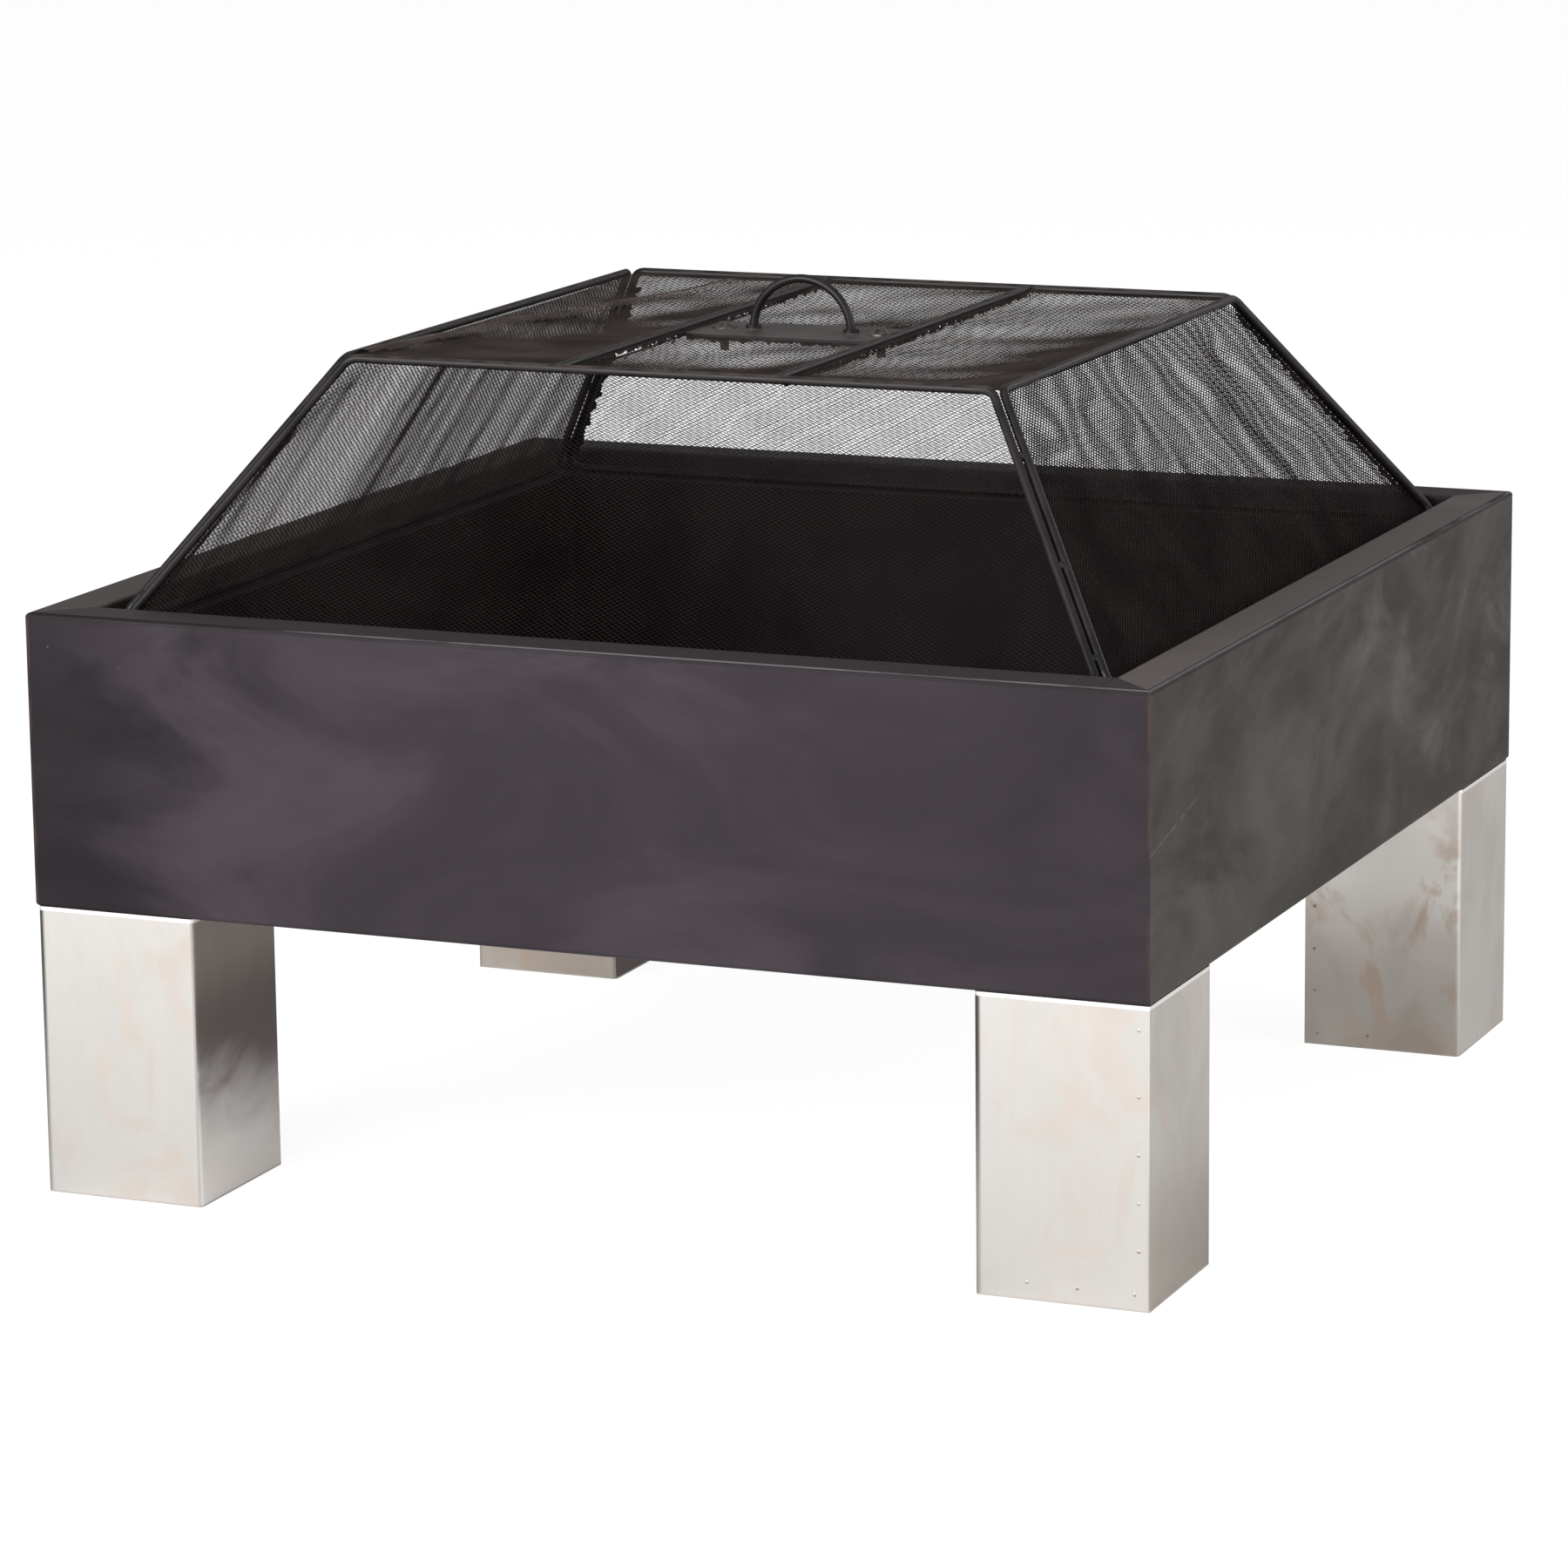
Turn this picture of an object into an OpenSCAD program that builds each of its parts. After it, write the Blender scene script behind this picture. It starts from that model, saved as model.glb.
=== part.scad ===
// Square garden fire pit: folded steel surround on four box legs, drop-in fire bowl,
// log grate and a lift-off spark screen. Millimetres, +Z up, the origin on the ground
// under the middle of the surround. The front is towards -Y.

/* [Surround] */
// Outside width and depth of the square surround
surround_w = 660; // [600:10:760]
// Height of the surround's walls
surround_h = 167; // [150:1:200]
// Thickness of the folded steel sheet
sheet_t = 1.5; // [1:0.1:2]
// Width of the flat top rim
rim_w = 30; // [26:1:40]
// Depth of the step from the rim's top down to the ledge
rim_step = 17; // [14:1:24]
// Width of the ledge that carries the fire bowl
ledge_w = 16; // [14:1:18]
// Width of the flange folded in along the bottom
bottom_flange_w = 25; // [24:1:30]
// Outside radius of every fold in the surround
fold_r = 2.5; // [2.2:0.1:4]

/* [Legs] */
// Outside width of a square leg
leg_w = 98; // [90:1:110]
// Height of a leg
leg_h = 165.5; // [120:0.5:250]
// How far a leg's outer faces stand back from the surround
leg_inset = 0.5; // [0:0.5:8]
// Thickness of the leg sheet
leg_t = 1; // [0.8:0.1:1.5]
// Outside radius of the leg's folded corners
leg_fold_r = 3; // [2:0.5:5]
// Height of the folded edges of a leg's top and foot caps
cap_h = 15; // [10:1:25]

/* [Fire bowl] */
// Thickness of the fire bowl's sheet
bowl_t = 2; // [1.5:0.1:3]
// Height of the bowl's underside above the ground
bowl_base_z = 182; // [180:1:200]
// Outside radius of the bowl's upright corners
bowl_corner_r = 8; // [6:1:30]

/* [Log grate] */
// Width and depth of the log grate
grate_w = 380; // [300:10:460]
// Diameter of the grate's round bars
grate_bar_d = 8; // [6:1:10]
// Number of bars across the grate
grate_bar_count = 9; // [5:1:11]
// Height of the grate's feet
grate_foot_h = 14; // [10:1:30]

/* [Spark screen] */
// Diameter of the screen's wire rods
rod_d = 5; // [4:0.5:6]
// Distance from the middle to a top rail
screen_top_half = 197; // [180:1:205]
// Height of the top rails above the bottom rails
screen_rise = 142.5; // [120:0.5:160]
// Side clearance between the bottom rails and the rim
screen_gap = 2.2; // [1.5:0.1:4]
// Bend radius at the corners of a wire frame
rod_bend_r = 9; // [8:1:14]
// Thickness of the screen's mesh
mesh_t = 0.5; // [0.4:0.1:1]

/* [Handle] */
// Depth of the handle plate from front to back
handle_plate_d = 52; // [40:1:60]
// Thickness of the handle plate
handle_plate_t = 2; // [1.5:0.5:3]
// Radius of the handle arch, at the middle of its rod
handle_r = 30.5; // [26:0.5:34]
// Distance of each handle screw from the middle
handle_screw_x = 49; // [46:1:52]

/* [Hidden] */
$fn = 48;
CUT = 1;                    // how far a cutting shape runs past a face
corner_front_left = [-1, -1];
corner_front_right = [1, -1];
corner_rear_left = [-1, 1];
corner_rear_right = [1, 1];
CORNERS = [corner_front_left, corner_front_right, corner_rear_left, corner_rear_right];

half_w = surround_w / 2;
rim_z = leg_h + surround_h;
ledge_z = rim_z - rim_step;
rim_opening = half_w - rim_w;                   // half the width inside the rim
ledge_opening = rim_opening + sheet_t - ledge_w;    // half the width inside the ledge

// Legs and the bolts that hold them
leg_pos = half_w - leg_inset - leg_w / 2;
cap_t = 1.5;
cap_half = leg_w / 2 - leg_t;
cap_corner_r = leg_fold_r - leg_t + 0.2;
seam_lap_w = 12;            // width of the lap folded behind a leg's seam
bolt_d = 6;
bolt_offset = 30;           // of each bolt from the leg's middle, in X and in Y
bolt_hole_r = 3.3;
bolt_sites = [[1, -1], [-1, 1]];
washer_r = 6;
washer_t = 1.6;
bolt_head_r = 5.5;
bolt_head_h = 4;
nut_h = 5;
mount_plate_w = 110;
mount_plate_t = 3;
mount_plate_z = leg_h + sheet_t;
corner_angle_w = 25;
corner_angle_t = 2;

// Fire bowl
bowl_side_gap = 1;          // between the bowl's wall and the ledge's edge
bowl_flange_gap = 1.5;      // between the bowl's flange and the rim's inner face
bowl_half = ledge_opening - bowl_side_gap;
bowl_flange_half = rim_opening - bowl_flange_gap;
bowl_floor_z = bowl_base_z + bowl_t;
bowl_top_z = ledge_z + bowl_t;

// Log grate
runner_z = bowl_floor_z + grate_foot_h + grate_bar_d / 2;
grate_bar_z = runner_z + grate_bar_d;
runner_y = grate_w / 2 - 45;
grate_bar_inset = 10;       // of the first and last bar from a runner's end
grate_pitch = (grate_w - 2 * grate_bar_inset) / (grate_bar_count - 1);
grate_foot_x = grate_w / 2 - 30;

// Spark screen
rod_r = rod_d / 2;
screen_base_z = bowl_top_z + rod_r;
screen_base_half = rim_opening - screen_gap - rod_r;
screen_top_z = screen_base_z + screen_rise;
screen_lean = atan2(screen_base_half - screen_top_half, screen_rise);
screen_slope = screen_rise / cos(screen_lean);
post_gap = 1;               // between the two rods that meet at a corner
bend_bite = 0.3;            // how far a straight rod runs into a bend
bend_proud = 0.03;          // how far a bend stands proud of a straight rod
post_offset = (rod_d + post_gap) / sqrt(2);
mesh_edge = 1;              // of a side mesh from its corner rod's middle line
mesh_top_drop = 4;          // of a side mesh below its top rail's middle line
weld_r = 2.6;
weld_places = [0.12, 0.42, 0.78];

// Top of the screen
cross_bar_x = screen_top_half / 3;
weld_bite = 1.2;            // how far a cross bar's end melts into a rail
top_mesh_half = screen_top_half - 0.5;
top_mesh_corner = 12;       // cut off each outer corner of the top mesh
middle_mesh_half_y = screen_top_half - 9;
mesh_bar_gap = 0.5;
rod_under_z = screen_top_z - rod_r;

// Handle
plate_top_z = rod_under_z;
plate_under_z = plate_top_z - handle_plate_t;
collar_r = 4.6;
collar_h = 2.5;
collar_gap = 0.1;
screw_r = 2.5;
screw_hole_r = 2.75;
screw_head_r = 4.6;
screw_head_h = 2.4;
screw_length = 13;          // of the shank below the plate's top
screw_washer_r = 7;
screw_washer_t = 1;
screw_nut_r = 4.6;
screw_nut_h = 4;

steel_dark = [0.27, 0.26, 0.28];
steel_bright = [0.83, 0.82, 0.79];
steel_zinc = [0.62, 0.63, 0.64];
bowl_black = [0.12, 0.10, 0.10];
grate_black = [0.15, 0.14, 0.14];
wire_brown = [0.16, 0.13, 0.12];
mesh_brown = [0.20, 0.17, 0.16];
handle_brown = [0.24, 0.20, 0.19];

// ---- Shared shapes ----

// Quarter ring of folded sheet about a centre, from one angle to 90 degrees further on
module fold(centre, start, radius, thickness) {
    translate(centre) rotate(start) intersection() {
        difference() {
            circle(r = radius);
            circle(r = radius - thickness);
        }
        square(radius);
    }
}

// Square with round corners, centred
module round_square(half, radius) {
    square([2 * half, 2 * (half - radius)], center = true);
    square([2 * (half - radius), 2 * half], center = true);
    for (corner = CORNERS) translate(corner * (half - radius)) circle(r = radius);
}

// Turns a shape made for the front side to another side of the square
module on_side(turn) {
    rotate([0, 0, turn]) children();
}

// Mirrors a flat shape made in the +X +Y corner to another corner
module in_corner(corner) {
    mirror([corner.x < 0 ? 1 : 0, 0]) mirror([0, corner.y < 0 ? 1 : 0]) children();
}

// Moves a shape to a leg
module at_leg(corner) {
    translate([corner.x * leg_pos, corner.y * leg_pos, 0]) children();
}

// The places of the leg bolts at one corner
module at_bolts(corner) {
    at_leg(corner) for (site = bolt_sites)
        translate([corner.x * site.x * bolt_offset, corner.y * site.y * bolt_offset, 0]) children();
}

// ---- Surround ----

// Section of a folded panel: distance in from the outer face, and height
module panel_section() {
    wall_h = surround_h - 2 * fold_r;
    translate([0, leg_h + fold_r]) square([sheet_t, wall_h]);
    fold([fold_r, rim_z - fold_r], 90, fold_r, sheet_t);
    translate([fold_r, rim_z - sheet_t]) square([rim_w - 2 * fold_r, sheet_t]);
    fold([rim_w - fold_r, rim_z - fold_r], 0, fold_r, sheet_t);
    lip_low = ledge_z - sheet_t + fold_r;
    translate([rim_w - sheet_t, lip_low]) square([sheet_t, rim_z - fold_r - lip_low]);
    fold([rim_w - sheet_t + fold_r, lip_low], 180, fold_r, sheet_t);
    translate([rim_w - sheet_t + fold_r, ledge_z - sheet_t]) square([ledge_w - fold_r, sheet_t]);
    fold([fold_r, leg_h + fold_r], 180, fold_r, sheet_t);
    translate([fold_r, leg_h]) square([bottom_flange_w - fold_r, sheet_t]);
}

// One side of the surround, mitred at 45 degrees to meet its neighbours
module surround_panel(turn) {
    color(steel_dark) on_side(turn) difference() {
        intersection() {
            translate([-half_w, -half_w, 0]) rotate([90, 0, 90])
                linear_extrude(surround_w) panel_section();
            linear_extrude(rim_z + CUT)
                polygon([[-half_w, -half_w], [half_w, -half_w], [0, 0]]);
        }
        for (side = [-1, 1])
            translate([side * (leg_pos - bolt_offset), -leg_pos - bolt_offset, leg_h - CUT])
                cylinder(h = sheet_t + 2 * CUT, r = bolt_hole_r);
    }
}

// Angle that joins two panels inside a corner
module corner_angle(corner) {
    reach = half_w - sheet_t;
    low = mount_plate_z + mount_plate_t;
    color(steel_dark)
        translate([0, 0, low]) linear_extrude(ledge_z - sheet_t - low)
            in_corner(corner) difference() {
                translate([reach - corner_angle_w, reach - corner_angle_w]) square(corner_angle_w);
                translate([reach - corner_angle_w - CUT, reach - corner_angle_w - CUT])
                    square(corner_angle_w - corner_angle_t + CUT);
            }
}

// Plate inside a bottom corner, clear of the walls' folds, which the leg is bolted to
module mount_plate(corner) {
    reach = half_w - fold_r;
    color(steel_dark) difference() {
        translate([0, 0, mount_plate_z]) linear_extrude(mount_plate_t)
            in_corner(corner) translate([reach - mount_plate_w, reach - mount_plate_w])
                square(mount_plate_w);
        translate([0, 0, mount_plate_z - CUT]) at_bolts(corner)
            cylinder(h = mount_plate_t + 2 * CUT, r = bolt_hole_r);
    }
}

// ---- Legs ----

// Folded leg shell: three folded corners, and a seam with a lap behind it at the last one
module leg(corner, seam_turn) {
    inner = leg_w / 2 - leg_t;
    color(steel_bright) at_leg(corner) rotate([0, 0, seam_turn]) {
        linear_extrude(leg_h) difference() {
            union() {
                round_square(leg_w / 2, leg_fold_r);
                translate([leg_w / 2 - leg_fold_r, -leg_w / 2]) square(leg_fold_r);
            }
            round_square(inner, leg_fold_r - leg_t);
        }
        translate([inner - seam_lap_w, -inner, cap_h + CUT])
            cube([seam_lap_w, leg_t, leg_h - 2 * (cap_h + CUT)]);
    }
}

// Shallow tray that closes a leg's end; its folded edge stands up from the plate
module cap_tray() {
    difference() {
        linear_extrude(cap_h) round_square(cap_half, cap_corner_r);
        translate([0, 0, cap_t]) linear_extrude(cap_h)
            round_square(cap_half - cap_t, cap_corner_r - cap_t / 2);
    }
}

module leg_top_cap(corner) {
    color(steel_bright) difference() {
        at_leg(corner) translate([0, 0, leg_h]) mirror([0, 0, 1]) cap_tray();
        translate([0, 0, leg_h - cap_t - CUT]) at_bolts(corner)
            cylinder(h = cap_t + 2 * CUT, r = bolt_hole_r);
    }
}

module foot_cap(corner) {
    color(steel_bright) at_leg(corner) cap_tray();
}

module leg_bolts() {
    head_z = mount_plate_z + mount_plate_t + washer_t;
    shank_low = leg_h - cap_t - nut_h - CUT;
    color(steel_zinc) for (corner = CORNERS) at_bolts(corner) {
        translate([0, 0, head_z]) cylinder(h = bolt_head_h, r = bolt_head_r, $fn = 6);
        translate([0, 0, shank_low]) cylinder(h = head_z - shank_low, r = bolt_d / 2);
    }
}

module leg_washers() {
    color(steel_zinc) for (corner = CORNERS) at_bolts(corner)
        translate([0, 0, mount_plate_z + mount_plate_t]) difference() {
            cylinder(h = washer_t, r = washer_r);
            translate([0, 0, -CUT]) cylinder(h = washer_t + 2 * CUT, r = bolt_hole_r);
        }
}

module leg_nuts() {
    color(steel_zinc) for (corner = CORNERS) at_bolts(corner)
        translate([0, 0, leg_h - cap_t - nut_h]) difference() {
            cylinder(h = nut_h, r = bolt_head_r, $fn = 6);
            translate([0, 0, -CUT]) cylinder(h = nut_h + 2 * CUT, r = bolt_d / 2 + 0.1);
        }
}

// ---- Fire bowl ----

// Square pan with a flange that rests on the surround's ledge
module fire_bowl() {
    color(bowl_black) {
        difference() {
            translate([0, 0, bowl_base_z]) linear_extrude(bowl_top_z - bowl_base_z)
                round_square(bowl_half, bowl_corner_r);
            translate([0, 0, bowl_floor_z]) linear_extrude(bowl_top_z)
                round_square(bowl_half - bowl_t, bowl_corner_r - bowl_t);
        }
        translate([0, 0, ledge_z]) linear_extrude(bowl_t) difference() {
            square(2 * bowl_flange_half, center = true);
            round_square(bowl_half - bowl_t, bowl_corner_r - bowl_t);
        }
    }
}

// ---- Log grate ----

module grate_bars() {
    color(grate_black) for (i = [0 : grate_bar_count - 1])
        translate([-grate_w / 2 + grate_bar_inset + i * grate_pitch, -grate_w / 2, grate_bar_z])
            rotate([-90, 0, 0]) cylinder(h = grate_w, r = grate_bar_d / 2);
}

module grate_runner(side) {
    color(grate_black) translate([-grate_w / 2, side * runner_y, runner_z])
        rotate([0, 90, 0]) cylinder(h = grate_w, r = grate_bar_d / 2);
}

module grate_feet() {
    color(grate_black) for (corner = CORNERS)
        translate([corner.x * grate_foot_x, corner.y * runner_y, bowl_floor_z])
            cylinder(h = grate_foot_h, r = grate_bar_d / 2);
}

// ---- Spark screen ----

function unit(v) = v / norm(v);
function wrap(list, i) = list[(i + len(list)) % len(list)];
function heading(points, i) = unit(wrap(points, i + 1) - wrap(points, i));
function angle_of(v) = atan2(v.y, v.x);
function turn_at(points, i) =
    (angle_of(heading(points, i)) - angle_of(heading(points, i - 1)) + 360) % 360;
function bend_cut(points, i) = rod_bend_r * tan(turn_at(points, i) / 2);

// Closed loop of round rod along a convex outline, with a round bend at each corner.
// The straight stretches are a hair thinner than the bends and end just inside them.
module wire_loop(points) {
    for (i = [0 : len(points) - 1]) {
        along = heading(points, i);
        before = heading(points, i - 1);
        from = points[i] + bend_cut(points, i) * along;
        to = wrap(points, i + 1) - bend_cut(points, i + 1) * along;
        bend_centre = points[i] - bend_cut(points, i) * before + rod_bend_r * [-before.y, before.x];
        translate([from.x, from.y, 0]) rotate([0, 90, angle_of(along)])
            translate([0, 0, -bend_bite])
                cylinder(h = norm(to - from) + 2 * bend_bite, r = rod_r - bend_proud);
        translate([bend_centre.x, bend_centre.y, 0]) rotate([0, 0, angle_of(before) - 90])
            rotate_extrude(angle = turn_at(points, i)) translate([rod_bend_r, 0]) circle(r = rod_r);
    }
}

// Lays a flat shape on a leaning side of the screen: X along it, Y up the slope
module on_slope(turn) {
    on_side(turn) translate([0, -screen_base_half, screen_base_z])
        rotate([90 - screen_lean, 0, 0]) children();
}

// Four-sided outline of a leaning side, up to a height along the slope
function side_outline(low, top) =
    let (high = low - top * sin(screen_lean)) [[-low, 0], [low, 0], [high, top], [-high, top]];

// The same outline with its corners cut off where a wire loop bends
function cut_corners(points) = [
    for (i = [0 : len(points) - 1], step = [-heading(points, i - 1), heading(points, i)])
        points[i] + bend_cut(points, i) * step
];

module screen_frame(turn) {
    color(wire_brown) on_slope(turn)
        wire_loop(side_outline(screen_base_half - post_offset, screen_slope));
}

// Side mesh, as a thin sheet against the inside of its frame
module screen_mesh(turn) {
    low = screen_base_half - post_offset - mesh_edge;
    color(mesh_brown) on_slope(turn) translate([0, 0, -rod_r - mesh_t]) linear_extrude(mesh_t)
        polygon(cut_corners(side_outline(low, screen_slope - mesh_top_drop)));
}

// Weld spots that join the paired corner rods
module screen_corner_welds() {
    color(wire_brown) for (corner = CORNERS, place = weld_places) {
        reach = screen_base_half - place * screen_rise * tan(screen_lean) - post_offset / 2;
        translate([corner.x * reach, corner.y * reach, screen_base_z + place * screen_rise])
            sphere(r = weld_r);
    }
}

module cross_bar(side) {
    reach = screen_top_half - rod_r + weld_bite;
    color(wire_brown) translate([side * cross_bar_x, -reach, screen_top_z])
        rotate([-90, 0, 0]) cylinder(h = 2 * reach, r = rod_r);
}

// Top mesh beside a cross bar, with its outer corners cut off
module top_mesh_outer(side) {
    inner = cross_bar_x + mesh_bar_gap;
    outer = top_mesh_half;
    cut = outer - top_mesh_corner;
    color(mesh_brown) translate([0, 0, rod_under_z - mesh_t]) linear_extrude(mesh_t)
        in_corner([side, 1]) polygon([
            [inner, -outer], [cut, -outer], [outer, -cut], [outer, cut], [cut, outer], [inner, outer]
        ]);
}

// Top mesh between the cross bars, clamped under the handle plate
module top_mesh_middle() {
    half = cross_bar_x - mesh_bar_gap;
    color(mesh_brown) translate([0, 0, plate_under_z - mesh_t]) linear_extrude(mesh_t)
        difference() {
            square([2 * half, 2 * middle_mesh_half_y], center = true);
            for (side = [-1, 1]) translate([side * handle_screw_x, 0]) circle(r = screw_hole_r);
        }
}

// ---- Handle ----

module handle_plate() {
    color(handle_brown) difference() {
        translate([-cross_bar_x, -handle_plate_d / 2, plate_under_z])
            cube([2 * cross_bar_x, handle_plate_d, handle_plate_t]);
        for (side = [-1, 1]) translate([side * handle_screw_x, 0, plate_under_z - CUT])
            cylinder(h = handle_plate_t + 2 * CUT, r = screw_hole_r);
    }
}

module handle_loop() {
    color(handle_brown) translate([0, 0, plate_top_z]) rotate([90, 0, 0])
        rotate_extrude(angle = 180) translate([handle_r, 0]) circle(r = rod_r);
}

module handle_collars() {
    color(handle_brown) for (side = [-1, 1]) difference() {
        translate([side * handle_r, 0, plate_top_z]) cylinder(h = collar_h, r = collar_r);
        translate([0, 0, plate_top_z]) rotate([90, 0, 0])
            rotate_extrude() translate([handle_r, 0]) circle(r = rod_r + collar_gap);
    }
}

module handle_screws() {
    head_z = plate_top_z + screw_washer_t;
    color(steel_zinc) for (side = [-1, 1]) translate([side * handle_screw_x, 0, 0]) {
        translate([0, 0, head_z]) cylinder(h = screw_head_h, r1 = screw_head_r, r2 = screw_r);
        translate([0, 0, plate_top_z - screw_length])
            cylinder(h = head_z - plate_top_z + screw_length, r = screw_r);
    }
}

// A washer over the plate and one under the mesh, at each screw
module handle_washers() {
    lower_z = plate_under_z - mesh_t - screw_washer_t;
    color(steel_zinc) for (side = [-1, 1], z = [lower_z, plate_top_z])
        translate([side * handle_screw_x, 0, z]) difference() {
            cylinder(h = screw_washer_t, r = screw_washer_r);
            translate([0, 0, -CUT]) cylinder(h = screw_washer_t + 2 * CUT, r = screw_hole_r);
        }
}

module handle_nuts() {
    nut_z = plate_under_z - mesh_t - screw_washer_t - screw_nut_h;
    color(steel_zinc) for (side = [-1, 1])
        translate([side * handle_screw_x, 0, nut_z]) difference() {
            cylinder(h = screw_nut_h, r = screw_nut_r, $fn = 6);
            translate([0, 0, -CUT]) cylinder(h = screw_nut_h + 2 * CUT, r = screw_r + 0.1);
        }
}

surround_panel(0);  // surround_front_panel
surround_panel(180);  // surround_rear_panel
surround_panel(-90);  // surround_left_panel
surround_panel(90);  // surround_right_panel
corner_angle(corner_front_left);  // corner_angle_front_left
corner_angle(corner_front_right);  // corner_angle_front_right
corner_angle(corner_rear_left);  // corner_angle_rear_left
corner_angle(corner_rear_right);  // corner_angle_rear_right
mount_plate(corner_front_left);  // mount_plate_front_left
mount_plate(corner_front_right);  // mount_plate_front_right
mount_plate(corner_rear_left);  // mount_plate_rear_left
mount_plate(corner_rear_right);  // mount_plate_rear_right
leg(corner_front_left, 180);  // leg_front_left
leg(corner_front_right, 0);  // leg_front_right
leg(corner_rear_left, 90);  // leg_rear_left
leg(corner_rear_right, -90);  // leg_rear_right
leg_top_cap(corner_front_left);  // leg_top_cap_front_left
leg_top_cap(corner_front_right);  // leg_top_cap_front_right
leg_top_cap(corner_rear_left);  // leg_top_cap_rear_left
leg_top_cap(corner_rear_right);  // leg_top_cap_rear_right
foot_cap(corner_front_left);  // foot_cap_front_left
foot_cap(corner_front_right);  // foot_cap_front_right
foot_cap(corner_rear_left);  // foot_cap_rear_left
foot_cap(corner_rear_right);  // foot_cap_rear_right
leg_bolts();
leg_washers();
leg_nuts();
fire_bowl();
grate_bars();
grate_runner(-1);  // grate_front_runner
grate_runner(1);  // grate_rear_runner
grate_feet();
screen_frame(0);  // screen_front_frame
screen_frame(180);  // screen_rear_frame
screen_frame(-90);  // screen_left_frame
screen_frame(90);  // screen_right_frame
screen_mesh(0);  // screen_front_mesh
screen_mesh(180);  // screen_rear_mesh
screen_mesh(-90);  // screen_left_mesh
screen_mesh(90);  // screen_right_mesh
screen_corner_welds();
cross_bar(-1);  // cross_bar_left
cross_bar(1);  // cross_bar_right
top_mesh_outer(-1);  // top_mesh_left
top_mesh_middle();
top_mesh_outer(1);  // top_mesh_right
handle_plate();
handle_loop();
handle_collars();
handle_screws();
handle_washers();
handle_nuts();
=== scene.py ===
"""Looks of the garden fire pit: wire netting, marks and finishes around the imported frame, light and camera.

Everything is in the row frame, in metres: the origin is on the ground under the middle of the pit,
+Z is up and the front is towards -Y.
"""

import math

import bpy
import numpy as np
from mathutils import Matrix, Vector


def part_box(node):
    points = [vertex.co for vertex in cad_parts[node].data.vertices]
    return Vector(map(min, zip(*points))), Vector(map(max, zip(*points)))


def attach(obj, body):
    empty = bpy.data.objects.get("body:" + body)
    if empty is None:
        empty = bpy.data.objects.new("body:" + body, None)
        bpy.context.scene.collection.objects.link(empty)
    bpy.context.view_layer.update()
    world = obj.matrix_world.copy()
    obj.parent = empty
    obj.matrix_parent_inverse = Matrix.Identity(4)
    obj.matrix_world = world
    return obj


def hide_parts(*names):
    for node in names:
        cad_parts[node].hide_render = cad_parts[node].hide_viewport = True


MM = 0.001
SEED = 11

# Netting: expanded metal with long diamonds. The strands' size is a guess. Each side's tilt is set so
# that it looks about as open as in the photo from the photo's direction, and only from there.
LONG_PITCH = 4.2 * MM
SHORT_PITCH = 2.5 * MM
STRAND_W = 0.76 * MM
STRAND_T = 0.19 * MM
# Tilt of the flat strands from the netting's own plane
SIDE_TILTS = {side: math.radians(tilt) for side, tilt in (
    ("front", -75), ("right", -80), ("rear", -75), ("left", -64),
)}
TOP_TILT = math.radians(-21)
NODE_JITTER = 0.05 * MM
NET_SPAN = 0.4              # no strand reaches further than this from the middle of its netting
NET_GAP = 0.25 * MM         # between the side netting and its rods
SIDE_INSET = 3.4 * MM       # from the middle of a leaning rod to the ends of the side's strands
SIDE_CORNER = 7 * MM        # how much the side netting is cut off at its corners
SIDE_HOLD = 26 * MM         # nearer to a rod than this, the side netting cannot move freely
TOP_CORNER = 12 * MM
TOP_HOLD = 18 * MM
TOP_ROUGH = 0.30 * MM
FRINGE = 4.5 * MM           # how far the cut edges hang beside a cross bar
FRINGE_KNOTS = 110
BAR_GRIP = 0.5 * MM         # height of the netting over a cross bar's middle line
ROLL_HEIGHT = 2.6 * MM
STRIP_THICKNESS = 0.5 * MM
STRIP_STEP = 1.9 * MM

CORNERS = ("front_left", "front_right", "rear_left", "rear_right")
SIDE_TURNS = {"front": 0.0, "right": 90.0, "rear": 180.0, "left": -90.0}
SIDE_SEEDS = {"front": 41, "right": 42, "rear": 43, "left": 44}

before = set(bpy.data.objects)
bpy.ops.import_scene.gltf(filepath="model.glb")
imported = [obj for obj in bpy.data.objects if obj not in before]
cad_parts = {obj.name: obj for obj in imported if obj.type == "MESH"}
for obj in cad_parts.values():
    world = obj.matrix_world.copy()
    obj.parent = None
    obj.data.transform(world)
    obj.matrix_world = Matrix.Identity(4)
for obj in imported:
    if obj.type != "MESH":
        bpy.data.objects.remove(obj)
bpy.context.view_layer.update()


# ---------------------------------------------------------------------------
# Places taken from the frame
# ---------------------------------------------------------------------------

BAR_LOW, BAR_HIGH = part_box("cross_bar_right")
ROD_R = (BAR_HIGH.z - BAR_LOW.z) / 2
BAR_X = (BAR_HIGH.x + BAR_LOW.x) / 2
FRONT_LOW, FRONT_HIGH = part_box("screen_front_frame")
BASE_HALF = -(FRONT_LOW.y + ROD_R)
TOP_HALF = -(FRONT_HIGH.y - ROD_R)
BASE_Z = FRONT_LOW.z + ROD_R
TOP_Z = FRONT_HIGH.z - ROD_R
LEAN = math.atan2(BASE_HALF - TOP_HALF, TOP_Z - BASE_Z)
SLOPE = (TOP_Z - BASE_Z) / math.cos(LEAN)
PLATE_LOW, PLATE_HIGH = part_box("handle_plate")
PANEL_LOW, PANEL_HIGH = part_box("surround_front_panel")
OUTER = -PANEL_LOW.y
RIM_Z = PANEL_HIGH.z


# ---------------------------------------------------------------------------
# Mesh helpers
# ---------------------------------------------------------------------------

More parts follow.
